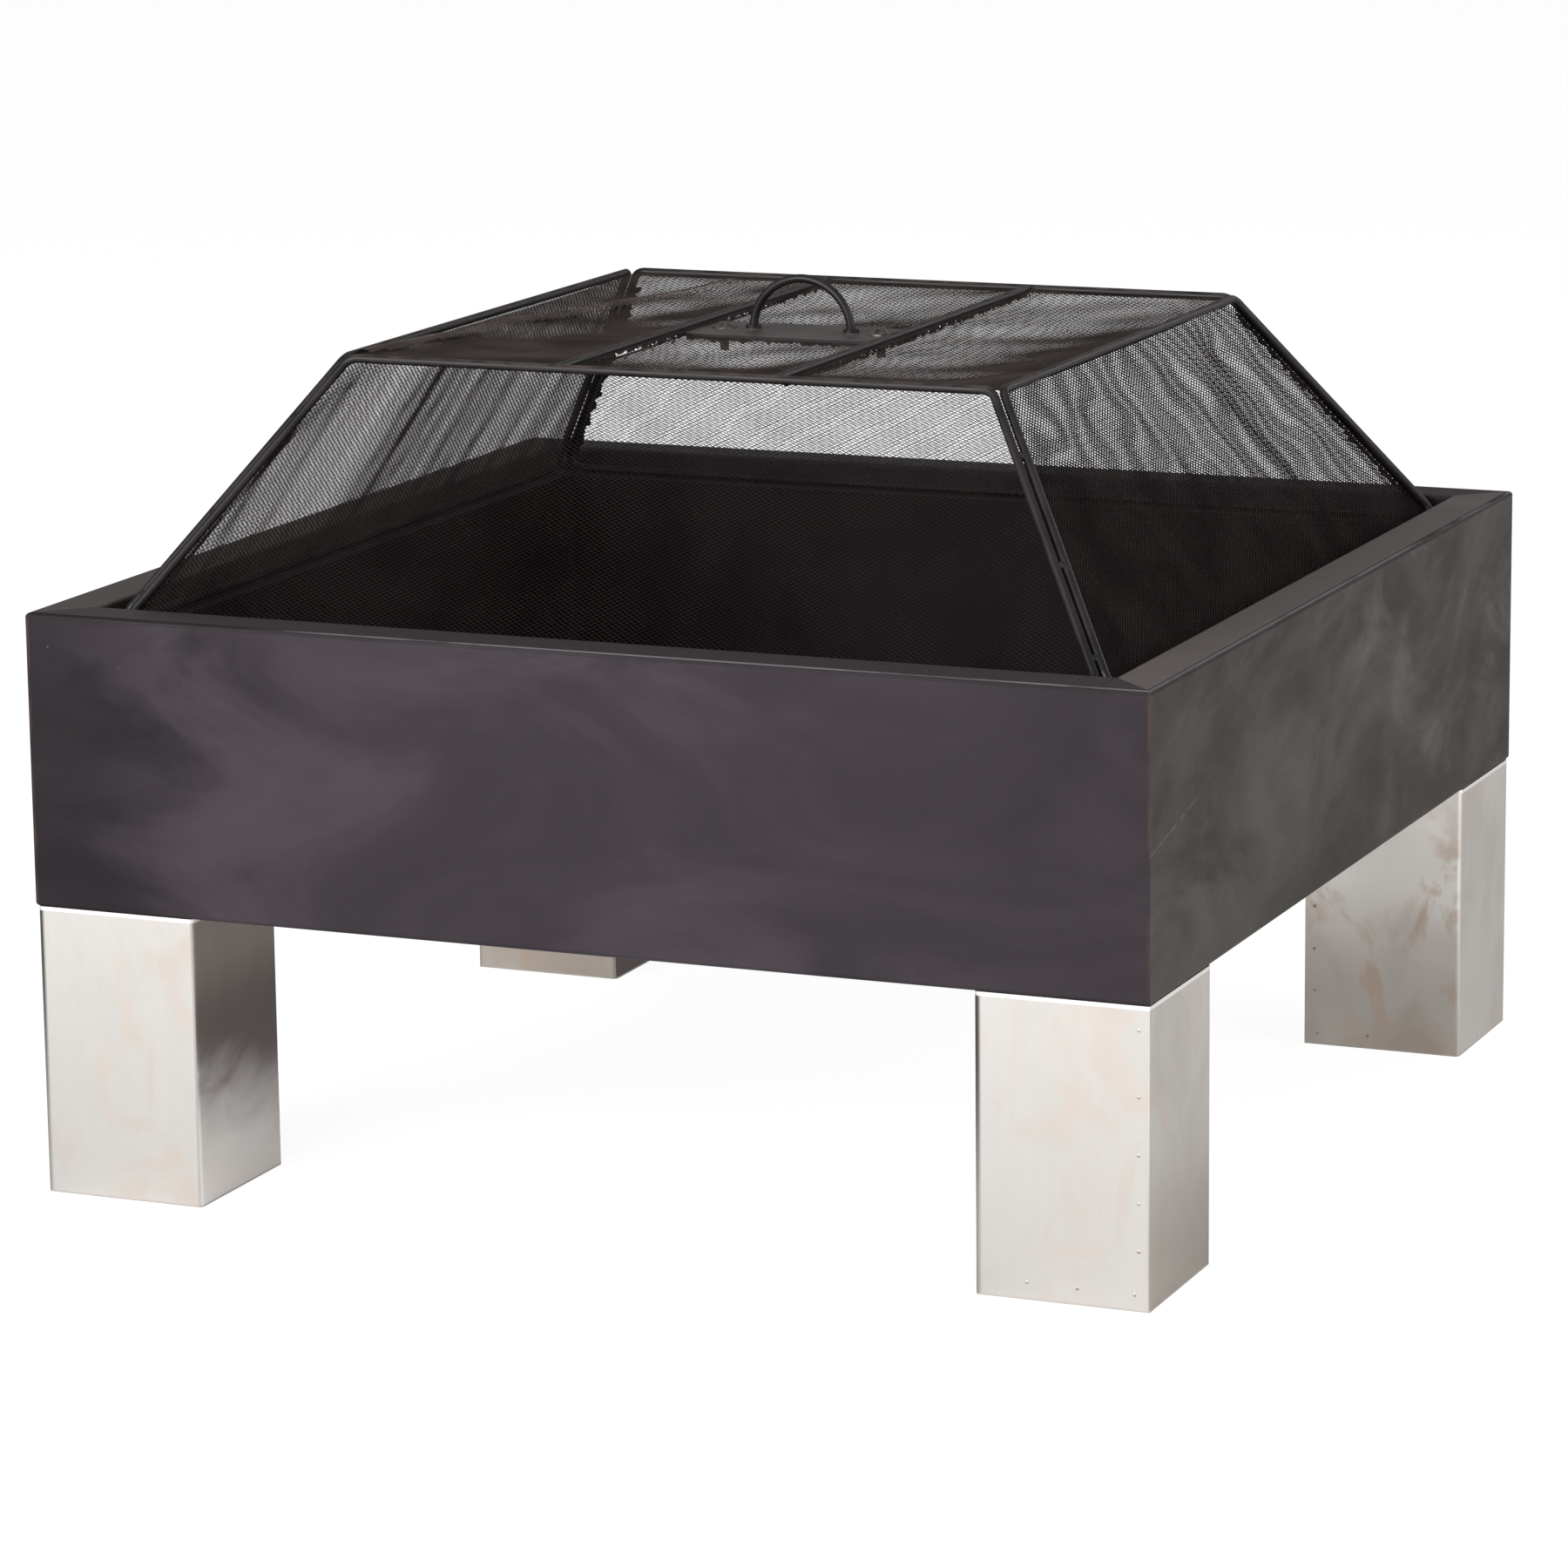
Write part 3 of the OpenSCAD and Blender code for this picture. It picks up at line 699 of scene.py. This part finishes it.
def surround_finish():
    """Charcoal heat-proof paint: cloudy, purplish in front, browner and wispy on the sides."""
    f = Finish("charcoal_paint")
    wide_x, wide_y = f.math("ABSOLUTE", f.x), f.math("ABSOLUTE", f.y)
    outer = f.math("MAXIMUM", wide_x, wide_y)
    inner = f.math("MINIMUM", wide_x, wide_y)
    cloud = f.between(f.noise(6.5, 5, (0.8, 0.8, 1.7), 0.58, 1.0), 0.33, 0.66)
    wisp = f.between(f.noise(8, 6, (0.7, 0.7, 1.3), 0.62, 2.2), 0.44, 0.74)
    smudge = f.between(f.noise(24, 5, (0.7, 0.7, 1.4), 0.6, 0.8), 0.35, 0.75)
    side = f.between(f.math("SUBTRACT", wide_x, wide_y), -0.001, 0.001)
    top = f.between(f.z, RIM_Z - 1.4 * MM, RIM_Z - 0.4 * MM)
    # the front: painted shade, darker towards its left end and its lower right
    drift = f.math("ADD", f.x, f.blend(cloud, -0.04, 0.04))
    ends = f.math("ADD", f.between(drift, -0.17, -0.29), f.between(drift, 0.12, 0.34, 0.0, 0.45))
    front_tone = f.mix(cloud, (0.0150, 0.0116, 0.0148), (0.0290, 0.0236, 0.0298))
    front_tone = f.mix(f.math("MULTIPLY", ends, 0.75), front_tone, (0.0090, 0.0066, 0.0078))
    # the sides: wisps of lighter bloom, more of them towards the back and the top
    upward = f.between(f.math("ADD", f.y, f.z), -0.05, 0.55, 0.25, 1.0)
    side_tone = f.mix(cloud, (0.0170, 0.0145, 0.0118), (0.0300, 0.0262, 0.0225))
    side_tone = f.mix(f.all_of(wisp, upward), side_tone, (0.0860, 0.0810, 0.0740))
    tone = f.mix(side, front_tone, side_tone)
    # the rim's top faces: painted light, lighter than the faces below, most on the right rim, less on the
    # left, least at front and rear
    painted_light_side_tops = f.mix(f.between(f.x, -0.01, 0.01), (0.078, 0.068, 0.063), (0.130, 0.114, 0.107))
    tone = f.mix(top, tone, f.mix(side, (0.048, 0.041, 0.043), painted_light_side_tops))
    tone = f.mix(f.math("MULTIPLY", smudge, 0.16), tone, (0.034, 0.029, 0.028))
    # the outer top fold: dull, with a thin bright line along it that is broken in places, partly wear and
    # partly a painted highlight
    on_fold = f.all_of(
        f.between(outer, OUTER - 3.2 * MM, OUTER - 2.2 * MM),
        f.between(f.z, RIM_Z - 3.0 * MM, RIM_Z - 2.2 * MM),
    )
    broken = f.between(f.noise(9, 4, (1, 1, 0.1), 0.65), 0.36, 0.56)
    worn_and_highlight_line = f.all_of(
        f.between(outer, OUTER - 2.2 * MM, OUTER - 1.7 * MM),
        f.between(outer, OUTER - 0.5 * MM, OUTER - 1.0 * MM),
        f.between(f.z, RIM_Z - 3.0 * MM, RIM_Z - 2.2 * MM),
        f.between(f.x, -0.20, -0.12),
        broken,
    )
    # rough thin line where two panels meet at an upright corner
    on_corner = f.all_of(
        f.between(inner, OUTER - 2.4 * MM, OUTER - 1.2 * MM),
        f.between(f.noise(60, 4, (1, 1, 0.5)), 0.40, 0.62),
    )
    # a long shallow scratch and short ones on the right side, near the front corner
    scratch_slope, scratch_z = 0.22, 0.3181
    scratch = f.math("SUBTRACT", f.z, f.math("MULTIPLY_ADD", f.y, scratch_slope, scratch_z))
    scratched = f.all_of(
        side,
        f.between(f.math("ABSOLUTE", scratch), 0.9 * MM, 0.2 * MM),
        f.between(f.y, -0.245, -0.275),
        f.between(f.noise(90, 3), 0.36, 0.52),
    )
    chips = f.all_of(
        f.between(f.noise(110, 2), 0.72, 0.75),
        f.between(f.x, -0.20, -0.26),
        f.between(f.z, 0.27, 0.30),
    )
    tone = f.mix(on_fold, tone, (0.018, 0.015, 0.016))
    tone = f.mix(f.math("MULTIPLY", on_corner, 0.8), tone, (0.050, 0.031, 0.026))
    tone = f.mix(chips, tone, (0.090, 0.082, 0.080))
    tone = f.mix(f.math("MULTIPLY", scratched, 0.8), tone, (0.110, 0.104, 0.096))
    tone = f.mix(worn_and_highlight_line, tone, (0.130, 0.122, 0.132))
    rough = f.math("ADD", f.blend(smudge, 0.48, 0.56), f.blend(cloud, 0.05, -0.04))
    gloss = f.math("MULTIPLY", f.blend(cloud, 0.30, 0.37), f.blend(on_fold, 1.0, 0.5))
    gloss = f.math("MULTIPLY", gloss, f.blend(f.all_of(ends, f.math("SUBTRACT", 1.0, side)), 1.0, 0.50))
    glint = f.mix(side, (1.0, 0.89, 1.0), (1.0, 0.94, 0.88))
    grain = f.math("ADD", f.noise(900, 2), f.math("MULTIPLY", f.noise(30, 3), 3.0))
    f.set(Base_Color=tone, Roughness=rough, Specular_IOR_Level=gloss, Specular_Tint=glint)
    f.bump(grain, 0.25, 0.00012)
    return f.material


def painted_shade_share(f, low):
    """Where the left legs' inner sides get painted shade, a dark reflection painted in, above a ragged
    slanting edge.
    """
    streaks = f.noise(34, 3, (0.3, 0.5, 1), 0.55, 0.6)
    height = f.math("ADD", f.math("MULTIPLY_ADD", streaks, 0.05, f.z), f.math("MULTIPLY", f.y, 0.25))
    return f.all_of(
        f.between(f.x, 0.0, -0.01),
        f.on_face(f.x, -low.x, -1),
        f.between(height, -0.022, 0.046),
    )


def leg_finish():
    """Bright satin steel: fine vertical grain, faint heat tints, and painted reflections and shade on the
    left legs' inner sides, the rear legs' fronts and the front legs' left folds.
    """
    f = Finish("satin_steel")
    low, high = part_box("leg_front_right")
    fold = 4.5 * MM
    cloud = f.between(f.noise(16, 4, (1, 1, 0.7), 0.55, 0.5), 0.35, 0.70)
    tone = f.mix(cloud, (0.660, 0.641, 0.619), (0.575, 0.556, 0.535))
    # tan and pink heat tints, faint in front and strong on the rear legs' front faces
    rear_front = f.all_of(f.between(f.y, 0.0, 0.01), f.on_face(f.y, low.x, 1))
    blotch = f.between(f.noise(21, 4, (1, 1, 0.7), 0.6, 1.2), 0.50, 0.66)
    tint = f.mix(f.noise(30, 2), (0.74, 0.58, 0.50), (0.56, 0.43, 0.33))
    lower = f.between(f.z, 0.11, 0.03)
    # painted reflection: the rear legs' front faces are made brighter above the foot
    tone = f.mix(f.all_of(rear_front, f.math("SUBTRACT", 1.0, lower)), tone, (0.97, 0.94, 0.91))
    stained = f.all_of(rear_front, f.between(f.z, 0.150, 0.105))
    tone = f.mix(f.all_of(blotch, f.blend(stained, 0.28, 0.85)), tone, tint)
    tone = f.mix(f.all_of(rear_front, lower, f.blend(cloud, 0.3, 0.7)), tone, (0.46, 0.38, 0.32))
    # the front right leg's outer side: darker towards the foot
    outer_side = f.all_of(f.on_face(f.x, high.x, -1), f.between(f.y, 0.0, -0.01))
    tone = f.mix(f.all_of(outer_side, f.between(f.z, 0.11, 0.02, 0.0, 0.8)), tone, (0.43, 0.39, 0.355))
    # the left legs' inner sides: painted reflections, bright at the foot and painted shade above
    inner_side = f.on_face(f.x, -low.x, -1)
    tone = f.mix(f.all_of(inner_side, f.between(f.x, 0.0, -0.01)), tone, (0.88, 0.85, 0.83))
    painted_shade_tone = f.mix(f.between(f.z, 0.10, 0.15), (0.155, 0.128, 0.122), (0.31, 0.27, 0.25))
    tone = f.mix(f.math("MULTIPLY", painted_shade_share(f, low), 0.95), tone, painted_shade_tone)
    # the front legs' left folds: painted shade, dark at the top, fading downwards
    left_fold = f.math(
        "MAXIMUM",
        f.all_of(f.between(f.x, low.x + fold, low.x + 0.5 * fold), f.between(f.x, 0.0, 0.01)),
        f.between(f.x, -high.x + fold, -high.x + 0.5 * fold),
    )
    tone = f.mix(
        f.all_of(left_fold, f.between(f.y, -0.1, -0.2), f.between(f.z, 0.02, 0.14, 0.35, 0.95)),
        tone, (0.07, 0.065, 0.065),
    )
    # bright line under the surround, darker line at the foot
    tone = f.mix(f.between(f.z, high.z - 2.6 * MM, high.z - 1.8 * MM), tone, (0.93, 0.92, 0.90))
    tone = f.mix(f.between(f.z, 1.6 * MM, 0.4 * MM), tone, (0.55, 0.52, 0.49))
    grain = f.noise(420, 3, (1, 1, 0.05), 0.6)
    wave = f.noise(9, 2)
    rough = f.math("ADD", f.blend(cloud, 0.38, 0.48), f.blend(grain, -0.04, 0.04))
    f.set(Base_Color=tone, Roughness=rough, Metallic=1.0)
    f.bump(f.math("ADD", grain, f.math("MULTIPLY", wave, 20.0)), 0.12, 0.0001)
    return f.material


def spot_finish():
    """Spot welds: the leg's steel, heat-marked."""
    f = Finish("weld_spot_steel")
    mark = f.between(f.noise(300, 2), 0.4, 0.62)
    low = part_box("leg_front_right")[0]
    tone = f.mix(mark, (0.52, 0.48, 0.44), (0.34, 0.30, 0.27))
    # painted shade: the spot welds on the left legs' inner sides are darkened with the steel around them
    tone = f.mix(painted_shade_share(f, low), tone, (0.24, 0.20, 0.19))
    f.set(Base_Color=tone, Roughness=f.blend(mark, 0.30, 0.45), Metallic=1.0)
    f.bump(f.noise(1400, 2), 0.3, 0.0001)
    return f.material


def fastener_finish():
    """Zinc-plated screws, nuts and washers."""
    f = Finish("zinc_plate")
    cloud = f.between(f.noise(160, 3), 0.35, 0.65)
    tone = f.mix(cloud, (0.10, 0.085, 0.08), (0.24, 0.21, 0.195))
    f.set(Base_Color=tone, Roughness=f.blend(cloud, 0.34, 0.5), Metallic=0.9)
    f.bump(f.noise(1500, 2), 0.2, 0.0001)
    return f.material


def bowl_finish():
    """Black heat-proof paint, browned and dusty inside the bowl."""
    f = Finish("black_bowl_paint")
    low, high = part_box("fire_bowl")
    cloud = f.between(f.noise(6, 4, roughness=0.6, distortion=0.5), 0.3, 0.7)
    fine = f.between(f.noise(45, 4, (1, 1, 0.5)), 0.4, 0.7)
    floor = f.between(f.z, low.z + 25 * MM, low.z + 2 * MM)
    tone = f.mix(cloud, (0.0062, 0.0042, 0.0046), (0.0112, 0.0080, 0.0088))
    tone = f.mix(f.all_of(fine, f.blend(floor, 0.10, 0.9)), tone, (0.030, 0.023, 0.020))
    # painted highlight: the flange's top face is lighter
    flange = f.between(f.z, high.z - 1.0 * MM, high.z - 0.2 * MM)
    tone = f.mix(flange, tone, (0.030, 0.025, 0.026))
    rough = f.math("ADD", f.blend(cloud, 0.46, 0.60), f.blend(fine, 0.0, 0.12))
    f.set(Base_Color=tone, Roughness=rough, Specular_IOR_Level=0.15, Specular_Tint=(1.0, 0.80, 0.80))
    f.bump(f.math("ADD", f.noise(700, 3), f.math("MULTIPLY", f.noise(25, 3), 3.0)), 0.3, 0.00015)
    return f.material


def grate_finish():
    """Cast-black bars with rust blooming on them."""
    f = Finish("grate_black")
    rust = f.between(f.noise(38, 5, roughness=0.7), 0.50, 0.66)
    tone = f.mix(f.noise(120, 3), (0.016, 0.014, 0.014), (0.034, 0.030, 0.029))
    tone = f.mix(rust, tone, (0.085, 0.042, 0.024))
    f.set(Base_Color=tone, Roughness=f.blend(rust, 0.48, 0.8))
    f.bump(f.noise(520, 4), 0.45, 0.0002)
    return f.material


def wire_finish():
    """Black-brown satin rods, with a painted highlight in lighter brown along the top."""
    f = Finish("brown_black_rod")
    cloud = f.between(f.noise(30, 3), 0.35, 0.65)
    # painted highlight: lighter brown on the rods' tops, broken up by noise
    painted_top_highlight = f.all_of(
        f.between(f.z, TOP_Z + 0.6 * MM, TOP_Z + 2.3 * MM),
        f.between(f.noise(60, 3), 0.30, 0.55),
    )
    tone = f.mix(cloud, (0.009, 0.007, 0.0075), (0.018, 0.014, 0.014))
    tone = f.mix(f.all_of(painted_top_highlight, f.blend(cloud, 0.4, 0.8)), tone, (0.075, 0.058, 0.053))
    f.set(Base_Color=tone, Roughness=f.blend(cloud, 0.38, 0.52), Specular_IOR_Level=0.32)
    f.bump(f.noise(1100, 3), 0.3, 0.00012)
    return f.material


def netting_finish(name, dark, light):
    """Brown-black heat-proof coat on the netting's strands, chipped in places."""
    f = Finish(name)
    cloud = f.between(f.noise(24, 3), 0.35, 0.65)
    chipped = f.between(f.noise(420, 2), 0.60, 0.70)
    tone = f.mix(cloud, dark, light)
    tone = f.mix(f.all_of(chipped, f.blend(cloud, 0.2, 0.6)), tone, (0.070, 0.056, 0.050))
    f.set(Base_Color=tone, Roughness=f.blend(cloud, 0.50, 0.65), Specular_IOR_Level=0.10)
    f.bump(f.noise(2500, 2), 0.3, 0.00006)
    return f.material


def handle_finish():
    """The handle's paint, with a painted highlight in pale brown on the plate's top face."""
    f = Finish("handle_paint_painted_top")
    cloud = f.between(f.noise(26, 4, roughness=0.6), 0.35, 0.68)
    # painted highlight: the plate's top face is lighter
    top = f.all_of(
        f.between(f.z, PLATE_HIGH.z - 0.5 * MM, PLATE_HIGH.z - 0.1 * MM),
        f.between(f.z, PLATE_HIGH.z + 0.8 * MM, PLATE_HIGH.z + 0.3 * MM),
    )
    tone = f.mix(cloud, (0.009, 0.007, 0.0075), (0.018, 0.0145, 0.014))
    tone = f.mix(f.all_of(top, f.blend(cloud, 0.45, 0.9)), tone, (0.120, 0.100, 0.095))
    f.set(Base_Color=tone, Roughness=f.blend(cloud, 0.40, 0.54), Specular_IOR_Level=0.34)
    f.bump(f.noise(900, 3), 0.25, 0.00012)
    return f.material


FINISH_OF_START = {
    "surround": surround_finish,
    "corner_angle": surround_finish,
    "mount_plate": surround_finish,
    "leg_bolts": fastener_finish,
    "leg_washers": fastener_finish,
    "leg_nuts": fastener_finish,
    "leg": leg_finish,
    "foot_cap": leg_finish,
    "fire_bowl": bowl_finish,
    "grate": grate_finish,
    "screen": wire_finish,
    "cross_bar": wire_finish,
    "handle_screws": fastener_finish,
    "handle_washers": fastener_finish,
    "handle_nuts": fastener_finish,
    "handle": handle_finish,
}


def finish_the_frame():
    """Gives the CAD nodes their finishes by the start of their names; the top's sheets, replaced by
    netting, need none."""
    made = {}
    for name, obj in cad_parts.items():
        start = next((s for s in FINISH_OF_START if name.startswith(s)), None)
        if start is None:
            continue
        build = FINISH_OF_START[start]
        if build not in made:
            made[build] = build()
        obj.material_slots[0].material = made[build]


# ---------------------------------------------------------------------------
# Stage, light and camera
# ---------------------------------------------------------------------------

def add_node(tree, kind, **inputs):
    """A new node with the given values on its inputs."""
    node = tree.nodes.new(f"ShaderNode{kind}")
    for name, value in inputs.items():
        node.inputs[name].default_value = value
    return node


def add_sum(tree, a, b):
    """Two shaders added together."""
    node = add_node(tree, "AddShader")
    tree.links.new(a.outputs[0], node.inputs[0])
    tree.links.new(b.outputs[0], node.inputs[1])
    return node


def show_to_camera(tree, output, seen, unseen):
    """Gives one shader to the camera's own rays, and another to all other rays."""
    path = add_node(tree, "LightPath")
    pick = add_node(tree, "MixShader")
    tree.links.new(path.outputs["Is Camera Ray"], pick.inputs[0])
    tree.links.new(unseen.outputs[0], pick.inputs[1])
    tree.links.new(seen.outputs[0], pick.inputs[2])
    tree.links.new(pick.outputs[0], output.inputs[0])


def floor_material():
    """Pale and softly shadowed to the camera; to everything else a pale floor that glows faintly."""
    material = bpy.data.materials.new("pale_floor")
    material.use_nodes = True
    tree = material.node_tree
    tree.nodes.clear()
    output = add_node(tree, "OutputMaterial")
    glow = add_node(tree, "Emission", Strength=0.93)
    matte = add_node(tree, "BsdfDiffuse", Color=(0.22, 0.22, 0.22, 1))
    lit = add_node(tree, "BsdfDiffuse", Color=(0.80, 0.79, 0.78, 1))
    bounce = add_node(tree, "Emission", Color=(1.0, 0.97, 0.93, 1), Strength=0.20)
    show_to_camera(tree, output, add_sum(tree, glow, matte), add_sum(tree, lit, bounce))
    return material


def build_floor():
    """A plain pale floor that stays even around the pit."""
    radius, rings, segments = 12.0, 6, 48
    points, faces = [(0, 0, 0)], []
    for ring in range(1, rings + 1):
        for i in range(segments):
            angle = 2 * math.pi * i / segments
            reach = radius * (ring / rings) ** 2
            points.append((reach * math.cos(angle), reach * math.sin(angle), 0))
    for i in range(segments):
        after = (i + 1) % segments
        faces.append((0, 1 + i, 1 + after))
        for ring in range(rings - 1):
            a, b = 1 + ring * segments, 1 + (ring + 1) * segments
            faces.append((a + i, b + i, b + after, a + after))
    mesh = bpy.data.meshes.new("floor")
    mesh.from_pydata(points, [], faces)
    mesh.materials.append(floor_material())
    floor = bpy.data.objects.new("floor", mesh)
    bpy.context.scene.collection.objects.link(floor)


def build_world():
    """A white studio: plain white to the camera, and a soft even glow for everything else."""
    world = bpy.data.worlds.new("studio")
    bpy.context.scene.world = world
    world.use_nodes = True
    tree = world.node_tree
    tree.nodes.clear()
    output = add_node(tree, "OutputWorld")
    plain = add_node(tree, "Background", Color=(1, 1, 1, 1), Strength=1.0)
    soft = add_node(tree, "Background", Color=(0.97, 0.98, 1.0, 1), Strength=0.22)
    show_to_camera(tree, output, plain, soft)


# Soft boxes: a broad one in front, and weak ones overhead, on the right and behind.
# Each has its name, place, aim, size, power and colour.
LIGHTS = [
    ("key", (-0.9, -3.2, 1.55), (0, 0, 0.10), (2.8, 1.7), 138, (1, 1, 1)),
    ("overhead", (0.3, 0.2, 3.0), (0, 0, 0.3), (2.0, 2.0), 8, (1, 0.98, 0.96)),
    ("right", (3.2, -0.3, 1.1), (0, 0, 0.15), (2.2, 1.6), 42, (1, 0.985, 0.96)),
    ("behind", (1.8, 2.6, 1.4), (0, 0, 0.2), (1.6, 1.2), 12, (1, 1, 1)),
]


def add_area_light(name, place, aim, size, power, colour):
    """A rectangular light at a place, turned to its aim."""
    light = bpy.data.lights.new(name, "AREA")
    light.shape = "RECTANGLE"
    light.size, light.size_y = size
    light.energy = power
    light.color = colour
    obj = bpy.data.objects.new(name, light)
    obj.location = place
    obj.rotation_mode = "QUATERNION"
    obj.rotation_quaternion = (Vector(aim) - Vector(place)).to_track_quat("-Z", "Y")
    bpy.context.scene.collection.objects.link(obj)


CAMERA_PLACE = (1.3517, -3.2208, 0.9478)
CAMERA_TURN, CAMERA_TILT, CAMERA_ROLL = -22.99, -12.20, -0.66
CAMERA_LENS = 139.87
SENSOR_WIDTH = 36


def build_camera():
    """A long lens above the rim and to the right of the front, as fitted to the photo."""
    yaw, pitch, roll = math.radians(CAMERA_TURN), math.radians(CAMERA_TILT), math.radians(CAMERA_ROLL)
    ahead = Vector((
        math.sin(yaw) * math.cos(pitch),
        math.cos(yaw) * math.cos(pitch),
        math.sin(pitch),
    ))
    level = Vector((math.cos(yaw), -math.sin(yaw), 0))
    upright = level.cross(ahead)
    right = level * math.cos(roll) + upright * math.sin(roll)
    up = upright * math.cos(roll) - level * math.sin(roll)
    camera = bpy.data.cameras.new("camera")
    camera.sensor_width = SENSOR_WIDTH
    camera.lens = CAMERA_LENS
    obj = bpy.data.objects.new("camera", camera)
    turned = Matrix((right, up, -ahead)).transposed()
    obj.matrix_world = Matrix.Translation(CAMERA_PLACE) @ turned.to_4x4()
    bpy.context.scene.collection.objects.link(obj)
    bpy.context.scene.camera = obj


# ---------------------------------------------------------------------------
# Everything together
# ---------------------------------------------------------------------------

finish_the_frame()
side_finish = netting_finish("brown_black_netting", (0.0155, 0.0115, 0.0115), (0.0360, 0.0275, 0.0265))
top_finish = netting_finish("sooty_brown_netting", (0.0230, 0.0165, 0.0145), (0.0500, 0.0375, 0.0330))
roll_finish = netting_finish("rubbed_brown_netting", (0.0700, 0.0540, 0.0480), (0.1300, 0.1050, 0.0950))
for side_name in SIDE_TURNS:
    side_netting(side_name, side_finish)
for section_name in TOP_SPANS:
    top_netting(section_name, top_finish)
rolled_edge(roll_finish)
cut_edges(side_finish)
leg_spot_welds(spot_finish())
bar_end_welds(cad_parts["cross_bar_left"].material_slots[0].material)
build_floor()
build_world()
for light_values in LIGHTS:
    add_area_light(*light_values)
build_camera()
bpy.context.scene.view_settings.view_transform = "Standard"
